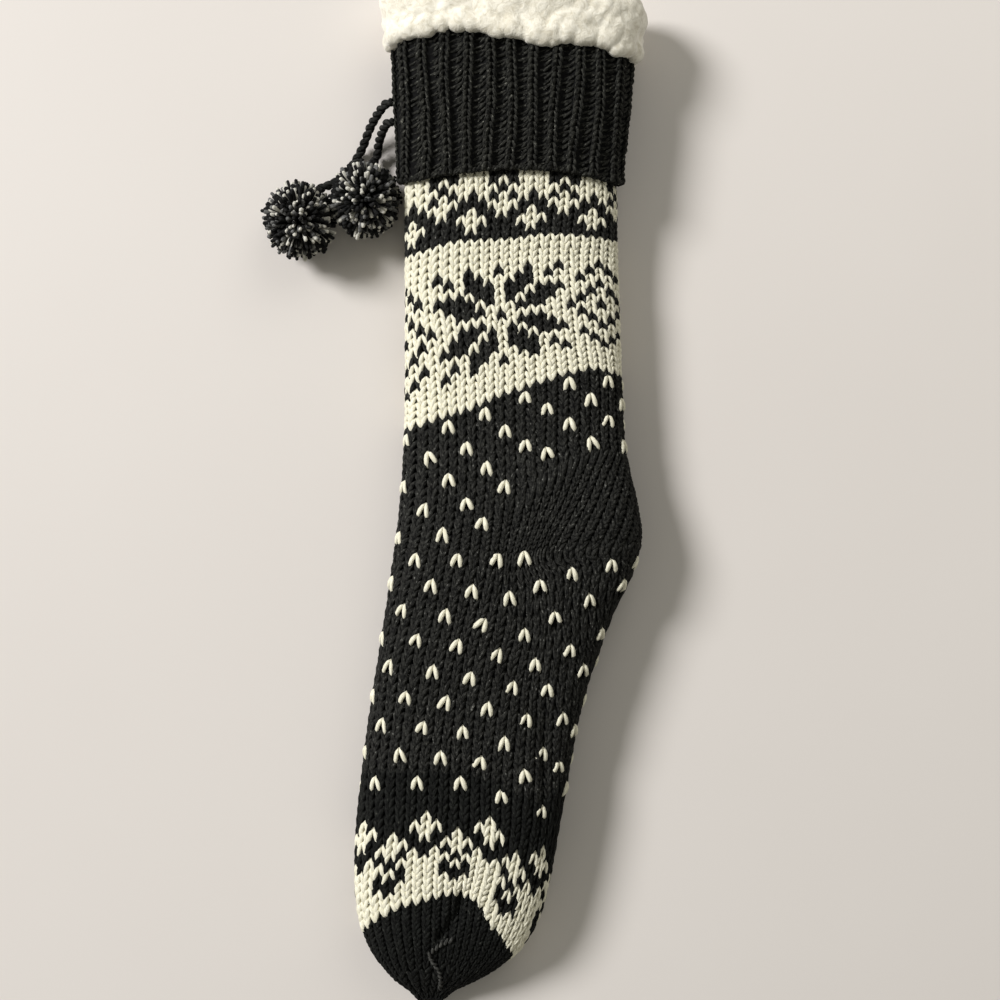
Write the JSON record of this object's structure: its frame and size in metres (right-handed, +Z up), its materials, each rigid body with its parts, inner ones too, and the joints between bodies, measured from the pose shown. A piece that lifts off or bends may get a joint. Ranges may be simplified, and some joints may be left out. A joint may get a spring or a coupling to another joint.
{
  "type": "slipper sock",
  "caption": "Mid-calf knitted slipper sock laid on its side, with a ribbed turn-down cuff, fleece-lined collar, snowflake bands and yarn pompoms on twisted cords.",
  "frame": {"origin": "bottom centre of the bounding box of the sock, its cuff and its fleece collar, on the floor", "axes": "+Y up the leg to the mouth, +X from the instep to the heel, +Z up from the floor that the sock lies on"},
  "size_m": [0.1812, 0.4908, 0.0485],
  "materials": {
    "charcoal_knit": "matte knitted acrylic yarn, charcoal with a cream pattern",
    "charcoal_rib": "matte ribbed acrylic yarn, charcoal",
    "cream_fleece": "matte curly fleece, cream",
    "marled_yarn": "matte cut yarn, charcoal, grey and off-white",
    "charcoal_cord": "matte twisted yarn, charcoal"
  },
  "bodies": {
    "root": {"sock_body": "charcoal_knit", "ribbed_cuff": "charcoal_rib", "fleece_collar": "cream_fleece", "pompom_1": "marled_yarn", "pompom_2": "marled_yarn", "cord_1": "charcoal_cord", "cord_2": "charcoal_cord"}
  },
  "joints": []
}
